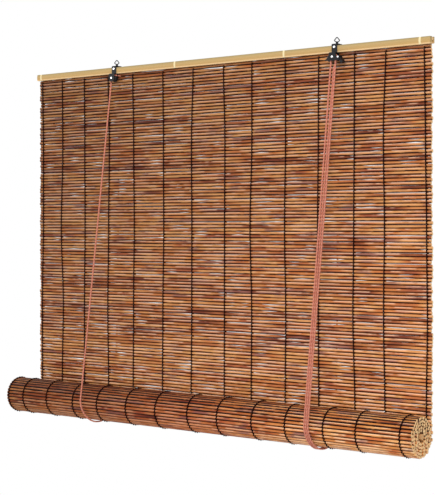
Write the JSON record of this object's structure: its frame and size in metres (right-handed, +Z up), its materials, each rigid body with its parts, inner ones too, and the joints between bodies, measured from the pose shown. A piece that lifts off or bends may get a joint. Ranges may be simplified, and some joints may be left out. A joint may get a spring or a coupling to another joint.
{
  "type": "bamboo roll-up blind",
  "caption": "Roll-up blind of bamboo reeds on a wooden headrail, with pulleys, a cord lock and lifting cords that roll the mat up from below.",
  "frame": {"origin": "on the line through the inner tops of the two hanging rings, at the middle of the mat's width", "axes": "+X along the headrail to the right seen from the room, -Y towards the room, +Z up"},
  "size_m": [1, 0.1032, 0.7801],
  "materials": {
    "headrail_batten": "dry split bamboo",
    "rear_batten": "dry split bamboo",
    "batten_brads": "bright plated",
    "reed_mat": "dry bamboo reed with a low sheen",
    "mat_warps": "twisted dark brown thread",
    "left_strap": "black paint",
    "right_strap": "black paint",
    "left_screw": "bright plated",
    "right_screw": "bright plated",
    "left_yoke": "black paint",
    "left_axle": "bright plated",
    "right_housing": "black paint",
    "right_axle": "bright plated",
    "pawl_pin": "bright plated",
    "header_cord": "braided coral cord",
    "lock_cord": "braided coral cord",
    "left_front_cord": "braided coral cord",
    "left_rear_cord": "braided coral cord",
    "left_knot": "braided coral cord",
    "right_front_cord": "braided coral cord",
    "right_rear_cord": "braided coral cord",
    "right_knot": "braided coral cord",
    "pull_cord_a": "braided coral cord",
    "pull_cord_b": "braided coral cord",
    "left_sling": "braided coral cord",
    "right_sling": "braided coral cord",
    "pull_sling_a": "braided coral cord",
    "pull_sling_b": "braided coral cord",
    "cord_coil": "braided coral cord",
    "coil_tie": "braided coral cord",
    "reed_roll": "dry bamboo reed with a low sheen",
    "roll_warps": "twisted dark brown thread",
    "bottom_batten": "dry split bamboo",
    "left_wheel": "black moulded",
    "lift_wheel": "black moulded",
    "pull_wheel": "black moulded",
    "left_ring": "black paint",
    "right_ring": "black paint",
    "lock_pawl": "black paint"
  },
  "bodies": {
    "headrail": {"headrail_batten": "headrail_batten", "rear_batten": "rear_batten", "batten_brads": "batten_brads", "reed_mat": "reed_mat", "mat_warps": "mat_warps", "left_strap": "left_strap", "right_strap": "right_strap", "left_screw": "left_screw", "right_screw": "right_screw", "left_yoke": "left_yoke", "left_axle": "left_axle", "right_housing": "right_housing", "right_axle": "right_axle", "pawl_pin": "pawl_pin", "header_cord": "header_cord", "lock_cord": "lock_cord", "left_front_cord": "left_front_cord", "left_rear_cord": "left_rear_cord", "left_knot": "left_knot", "right_front_cord": "right_front_cord", "right_rear_cord": "right_rear_cord", "right_knot": "right_knot", "pull_cord_a": "pull_cord_a", "pull_cord_b": "pull_cord_b"},
    "cord_slings": {"left_sling": "left_sling", "right_sling": "right_sling", "pull_sling_a": "pull_sling_a", "pull_sling_b": "pull_sling_b", "cord_coil": "cord_coil", "coil_tie": "coil_tie"},
    "roll": {"reed_roll": "reed_roll", "roll_warps": "roll_warps", "bottom_batten": "bottom_batten"},
    "left_wheel": {"left_wheel": "left_wheel"},
    "lift_wheel": {"lift_wheel": "lift_wheel"},
    "pull_wheel": {"pull_wheel": "pull_wheel"},
    "left_ring": {"left_ring": "left_ring"},
    "right_ring": {"right_ring": "right_ring"},
    "lock_pawl": {"lock_pawl": "lock_pawl"}
  },
  "joints": [
    {"name": "lift", "type": "slide", "parent": "headrail", "child": "cord_slings", "axis": [0, 0, 1], "range_m": [0, 0.6], "deforming": ["reed_mat", "mat_warps", "left_front_cord", "right_front_cord", "pull_cord_a", "pull_cord_b", "left_rear_cord", "right_rear_cord"]},
    {"name": "roll_turn", "type": "hinge", "parent": "cord_slings", "child": "roll", "pos_m": [0, -0.03565, -0.7327], "axis": [-1, 0, 0], "continuous": true},
    {"name": "left_wheel_turn", "type": "hinge", "parent": "headrail", "child": "left_wheel", "pos_m": [-0.265, -0.01145, -0.0383], "axis": [0, 1, 0], "continuous": true},
    {"name": "lift_wheel_turn", "type": "hinge", "parent": "headrail", "child": "lift_wheel", "pos_m": [0.297, -0.01354, -0.0373], "axis": [0, 1, 0], "continuous": true},
    {"name": "pull_wheel_turn", "type": "hinge", "parent": "headrail", "child": "pull_wheel", "pos_m": [0.297, -0.00836, -0.0373], "axis": [0, 1, 0], "continuous": true},
    {"name": "left_ring_swivel", "type": "hinge", "parent": "headrail", "child": "left_ring", "pos_m": [-0.265, 0, 0], "axis": [0, 0, 1], "continuous": true},
    {"name": "right_ring_swivel", "type": "hinge", "parent": "headrail", "child": "right_ring", "pos_m": [0.297, 0, 0], "axis": [0, 0, 1], "continuous": true},
    {"name": "lock_pawl_turn", "type": "hinge", "parent": "headrail", "child": "lock_pawl", "pos_m": [0.30989, -0.01095, -0.0383], "axis": [0, -1, 0], "range_deg": [0, 35]}
  ],
  "couplings": [
    {"joint": "roll_turn", "follows": "lift", "rad_per_m": 26.385},
    {"joint": "left_wheel_turn", "follows": "lift", "rad_per_m": 322.58},
    {"joint": "lift_wheel_turn", "follows": "lift", "rad_per_m": 384.62},
    {"joint": "pull_wheel_turn", "follows": "lift", "rad_per_m": 384.62}
  ]
}
